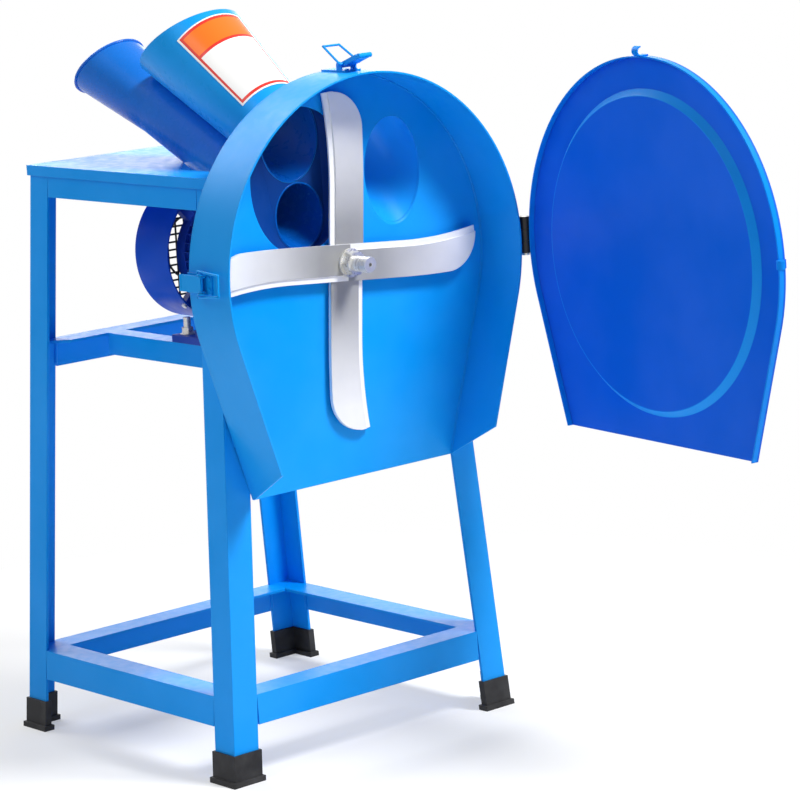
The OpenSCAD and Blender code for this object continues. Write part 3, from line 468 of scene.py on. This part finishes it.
def finish_mesh(name, mesh, finish, body):
    """Ends a piece: its mesh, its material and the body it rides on."""
    bmesh.ops.recalc_face_normals(mesh, faces=mesh.faces)
    for face in mesh.faces:
        face.smooth = True
    for edge in mesh.edges:
        edge.smooth = edge.is_manifold and edge.calc_face_angle(0.0) < math.radians(40)
    data = bpy.data.meshes.new(name)
    mesh.to_mesh(data)
    mesh.free()
    data.materials.append(finish)
    thing = bpy.data.objects.new(name, data)
    bpy.context.scene.collection.objects.link(thing)
    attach(thing, body)
    return thing


for ring_radius in (0.045, 0.0913):
    torus(guard_mesh, ring_radius, 0.0016, 0.0995)
guard_r = 0.0925
for count, pitch, y, across, along in ((9, 0.0105, 0.0968, Vector((0, 0, 1)), Vector((1, 0, 0))),
                                       (6, 0.0150, 0.0940, Vector((1, 0, 0)), Vector((0, 0, 1)))):
    for i in range(-count, count + 1):
        if abs(i * pitch) < guard_r * 0.95:
            middle = Vector((0, y, shaft_z)) + across * i * pitch
            half = along * math.sqrt(guard_r ** 2 - (i * pitch) ** 2)
            rod(guard_mesh, middle - half, middle + half, 0.0014)
guard = finish_mesh("wire_guard", guard_mesh, guard_black, "stand")
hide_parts("fan_guard")

# Bolts, nuts, washers and screws: zinc plated steel with a pale, faintly yellow sheen.


def zinc_plate(name):
    """Zinc plate with faint clouds."""
    mat, tree, skin, where = blank_finish(name, 0.32, metallic=0.6)
    tone = between(tree, speckle(tree, where, 60.0, 4.0), (0.62, 0.60, 0.54, 1), (0.80, 0.79, 0.76, 1))
    tree.links.new(tone, skin.inputs["Base Color"])
    tree.links.new(between(tree, speckle(tree, where, 200.0), 0.24, 0.42), skin.inputs["Roughness"])
    bumps(tree, skin, speckle(tree, where, 500.0), 0.10, 0.0002, 0.0008)
    return mat


zinc = zinc_plate("zinc")
dress(zinc, "foot_bolts", "cowl_screws", "blade_washer", "blade_nut", "hinge_pin")

# Cutter: two forged steel bars crossed on the shaft end, each with two curved blades. Their faces are ground
# to a pale satin that turns darker grey near the hub, and the leading edges carry a painted highlight, a
# near-white strip along the bevel.


def ground_blade(name, face):
    """Ground steel, darker grey near the hub; behind the bar's face, a y in metres, the cutting edge gets a
    near-white painted highlight.
    """
    mat, tree, skin, where = blank_finish(name, 0.42, metallic=0.12)
    marks = tree.nodes.new("ShaderNodeMapping")
    marks.inputs["Scale"].default_value = (420.0, 420.0, 30.0)
    marks.inputs["Rotation"].default_value = (0.0, math.radians(20), 0.0)
    tree.links.new(where, marks.inputs["Vector"])
    lines = speckle(tree, marks.outputs["Vector"], 1.0, 3.0)
    grain = speckle(tree, where, 16.0, 4.0)
    tree.links.new(between(tree, grain, (0.31, 0.31, 0.305, 1), (0.37, 0.37, 0.36, 1), 0.3, 0.7),
                   skin.inputs["Base Color"])
    depth, away = beside_line(tree, where, (Vector((0, 0, shaft_z)), Vector((0, 1, 0))))
    recoat(tree, skin, between(tree, away, 0.0, 1.0, 0.05, 0.19),
           between(tree, grain, (0.80, 0.80, 0.785, 1), (0.88, 0.875, 0.86, 1), 0.3, 0.7))
    # Painted highlight: a near-white strip on the cutting edge behind the bar's face.
    recoat(tree, skin, between(tree, depth, 0.0, 1.0, face + 0.0008, face + 0.0014), (0.95, 0.94, 0.92, 1))
    tree.links.new(between(tree, lines, 0.36, 0.50), skin.inputs["Roughness"])
    bumps(tree, skin, lines, 0.08, 0.0002, 0.001)
    return mat


dress(ground_blade("blade_steel_rear", -0.231), "rear_blade_bar")
dress(ground_blade("blade_steel_front", -0.236), "front_blade_bar")

# Thread on the shaft end: a rolled M20 thread that the nut runs on.
turns, per_turn, thread_r, thread_pitch, thread_y = 9, 24, 0.0099, 0.0025, -0.2765
thread = []
for i in range(turns * per_turn):
    angle = 2 * math.pi * i / per_turn
    thread.append((thread_r * math.cos(angle), thread_y + thread_pitch * i / per_turn,
                   shaft_z + thread_r * math.sin(angle)))
wire("shaft_thread", thread, 0.0006, False, bright_steel, "rotor")

# Door: a sheet with a folded edge and a round disc pressed in, coated a deeper blue inside and out. Painted
# highlights in lighter blues lie on the step round the disc and on the folded edge.
# Its hinge leaves are riveted on and painted black.
disc_middle, door_inward = Vector((0.2384, -0.5530, shaft_z)), Vector((-0.99255, 0.12187, 0))


def door_coat(name):
    """Powder coat in deep blue, with painted highlights in two lighter blues on the step round its disc and
    on its folded edge.
    """
    mat = powder_coat(name, paint(2, 98, 226))
    tree, skin = mat.node_tree, mat.node_tree.nodes["Principled BSDF"]
    where = tree.nodes["Texture Coordinate"].outputs["Object"]
    from_sheet, from_middle = beside_line(tree, where, (disc_middle, door_inward))
    disc_step_highlight = sums(tree, "MULTIPLY", between(tree, from_middle, 0.0, 1.0, 0.2014, 0.2030),
                between(tree, from_middle, 1.0, 0.0, 0.2104, 0.2116))
    fold_highlight = sums(tree, "MULTIPLY", between(tree, from_sheet, 0.0, 1.0, 0.0006, 0.0016),
                between(tree, from_middle, 0.0, 1.0, 0.2150, 0.2160))
    # Painted highlights: lighter blues on the step round the disc and on the folded edge, where light would
    # catch them.
    recoat(tree, skin, disc_step_highlight, paint(22, 152, 242))
    recoat(tree, skin, fold_highlight, paint(8, 134, 238))
    return mat


door_blue = door_coat("door_blue")
dress(door_blue, "door_panel", "door_catches")
dress(guard_black, "door_hinge_leaf", "fixed_hinge_leaf")

# Draw latches: pressed bases and levers riveted to the housing and coated with it, and wire bails
# that hook onto the catches on the door's folded edge.
dress(housing_blue, "latch_bases", "latch_rivets", "side_lever", "side_bail",
      "top_lever_plate", "top_bail")

# Studio: a plain white floor and surround, soft lights and the camera.
floor_mesh = bmesh.new()
bmesh.ops.create_grid(floor_mesh, x_segments=1, y_segments=1, size=8.0)
floor_data = bpy.data.meshes.new("studio_floor")
floor_mesh.to_mesh(floor_data)
floor_mesh.free()
floor = bpy.data.objects.new("studio_floor", floor_data)
bpy.context.scene.collection.objects.link(floor)
white, white_tree, white_skin, white_where = blank_finish("studio_white", 0.9, specular=0.0)
white_skin.inputs["Base Color"].default_value = (0.93, 0.93, 0.93, 1)


def looked_at(tree):
    """1 for a ray from the camera or from a mirror or glass, 0 for light that is scattered."""
    path = tree.nodes.new("ShaderNodeLightPath")
    value = path.outputs["Is Camera Ray"]
    for ray in ("Is Glossy Ray", "Is Transmission Ray"):
        value = sums(tree, "MAXIMUM", value, path.outputs[ray])
    return value


# Away from the shredder the floor runs into the white backdrop; near it, it takes the shadow.
far = white_tree.nodes.new("ShaderNodeVectorMath")
far.operation = "LENGTH"
white_tree.links.new(white_where, far.inputs[0])
away_share = between(white_tree, far.outputs["Value"], 0.40, 1.0, 0.35, 1.10)
glow = white_tree.nodes.new("ShaderNodeEmission")
melt = white_tree.nodes.new("ShaderNodeMixShader")
white_tree.links.new(sums(white_tree, "MULTIPLY", away_share, looked_at(white_tree)), melt.inputs["Fac"])
white_tree.links.new(white_skin.outputs["BSDF"], melt.inputs[1])
white_tree.links.new(glow.outputs["Emission"], melt.inputs[2])
white_tree.links.new(melt.outputs["Shader"], white_tree.nodes["Material Output"].inputs["Surface"])
floor.data.materials.append(white)

world = bpy.data.worlds.new("studio")
bpy.context.scene.world = world
world.use_nodes = True
sky = world.node_tree
fill = sky.nodes["Background"]
fill.inputs["Color"].default_value = (0.97, 0.98, 1.0, 1)
fill.inputs["Strength"].default_value = 0.20
backdrop = sky.nodes.new("ShaderNodeBackground")
backdrop.inputs["Color"].default_value = (1, 1, 1, 1)
choose = sky.nodes.new("ShaderNodeMixShader")
sky.links.new(looked_at(sky), choose.inputs["Fac"])
sky.links.new(fill.outputs["Background"], choose.inputs[1])
sky.links.new(backdrop.outputs["Background"], choose.inputs[2])
sky.links.new(choose.outputs["Shader"], sky.nodes["World Output"].inputs["Surface"])


def softbox(name, place, target, size, power):
    """A rectangular soft light at place, turned to the target."""
    lamp = bpy.data.lights.new(name, "AREA")
    lamp.shape = "RECTANGLE"
    lamp.size, lamp.size_y = size
    lamp.energy = power
    holder = bpy.data.objects.new(name, lamp)
    bpy.context.scene.collection.objects.link(holder)
    holder.location = place
    holder.rotation_mode = "QUATERNION"
    holder.rotation_quaternion = (Vector(target) - Vector(place)).to_track_quat("-Z", "Y")
    return holder


softbox("key", (0.9, -2.3, 3.4), (0, -0.2, 0.6), (1.0, 1.0), 160)
softbox("left", (-2.2, -0.3, 2.6), (0, -0.1, 0.8), (1.3, 1.3), 15)
softbox("rear", (-0.2, 2.8, 2.6), (0, 0, 0.7), (2.4, 1.4), 68)
low = softbox("low_rear", (2.0, 2.4, 1.3), (0, 0, 0.7), (2.4, 1.4), 22)
low.visible_camera = False

camera = bpy.data.objects.new("camera", bpy.data.cameras.new("camera"))
bpy.context.scene.collection.objects.link(camera)
camera.data.lens = 144.83
camera.data.sensor_width = 36.0
camera.data.clip_end = 60.0
turn = Matrix(((0.74783047, 0.1639575, -0.64332537),
               (-0.6613544, 0.09937589, -0.74346136),
               (-0.05796503, 0.98144912, 0.18275033)))
camera.matrix_world = Matrix.Translation((-2.674006, -3.409708, 1.238092)) @ turn.to_4x4()
bpy.context.scene.camera = camera
bpy.context.scene.view_settings.view_transform = "Standard"
